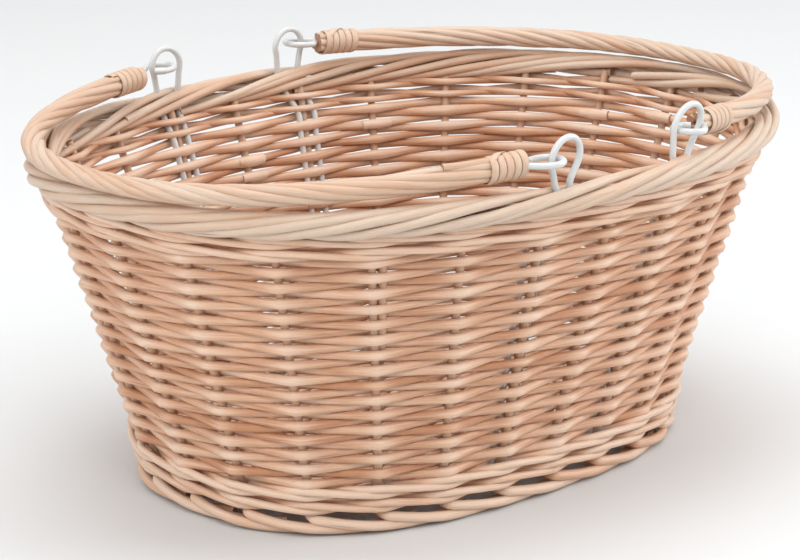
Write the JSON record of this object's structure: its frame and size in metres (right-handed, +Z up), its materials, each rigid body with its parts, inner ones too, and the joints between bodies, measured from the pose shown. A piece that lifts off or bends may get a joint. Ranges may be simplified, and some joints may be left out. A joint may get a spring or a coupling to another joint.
{
  "type": "wicker pet bed basket",
  "caption": "Oval flared willow basket, open at the top, with a rolled rim and swing handles on wire hoops; a bed for a small pet or a carrier.",
  "frame": {"origin": "centre of the bounding box in plan, on the plane the foot stands on", "axes": "+X along the long axis towards the right handle's crown, +Y across it to the back, +Z up"},
  "size_m": [0.4868, 0.354, 0.227],
  "materials": {
    "willow": "stripped willow rods, satin, buff",
    "willow_pale": "stripped willow rods, satin, pale buff",
    "skein": "split willow skein, satin",
    "coated_wire": "steel wire in a smooth white plastic coat"
  },
  "bodies": {
    "basket": {"base_mat": "willow", "base_long_stick_1": "willow", "base_long_stick_2": "willow", "base_long_stick_3": "willow", "base_short_stick_1": "willow", "base_short_stick_2": "willow", "base_short_stick_3": "willow", "base_short_stick_4": "willow", "base_short_stick_5": "willow", "stake_01": "willow", "stake_02": "willow", "stake_03": "willow", "stake_04": "willow", "stake_05": "willow", "stake_06": "willow", "stake_07": "willow", "stake_08": "willow", "stake_09": "willow", "stake_10": "willow", "stake_11": "willow", "stake_12": "willow", "stake_13": "willow", "stake_14": "willow", "stake_15": "willow", "stake_16": "willow", "stake_17": "willow", "stake_18": "willow", "stake_19": "willow", "stake_20": "willow", "stake_21": "willow", "stake_22": "willow", "stake_23": "willow", "stake_24": "willow", "foot_border": "willow_pale", "bottom_wale_1": "willow_pale", "bottom_wale_2": "willow_pale", "side_weave_1": "willow", "side_weave_2": "willow", "side_weave_3": "willow", "side_weave_4": "willow", "side_weave_5": "willow", "top_wale_1": "willow_pale", "top_wale_2": "willow_pale", "rim_border": "willow_pale", "hoop_left_front": "coated_wire", "hoop_left_back": "coated_wire", "hoop_right_front": "coated_wire", "hoop_right_back": "coated_wire"},
    "handle_left": {"left_handle_core_wire": "coated_wire", "left_handle_rods": "willow_pale", "left_handle_front_binding": "skein", "left_handle_back_binding": "skein"},
    "handle_right": {"right_handle_core_wire": "coated_wire", "right_handle_rods": "willow_pale", "right_handle_front_binding": "skein", "right_handle_back_binding": "skein"}
  },
  "joints": [
    {"name": "handle_left_swing", "type": "hinge", "parent": "basket", "child": "handle_left", "pos_m": [-0.048, 0, 0.216], "axis": [0, 1, 0], "range_deg": [0, 100]},
    {"name": "handle_right_swing", "type": "hinge", "parent": "basket", "child": "handle_right", "pos_m": [0.048, 0, 0.216], "axis": [0, -1, 0], "range_deg": [0, 100]}
  ]
}
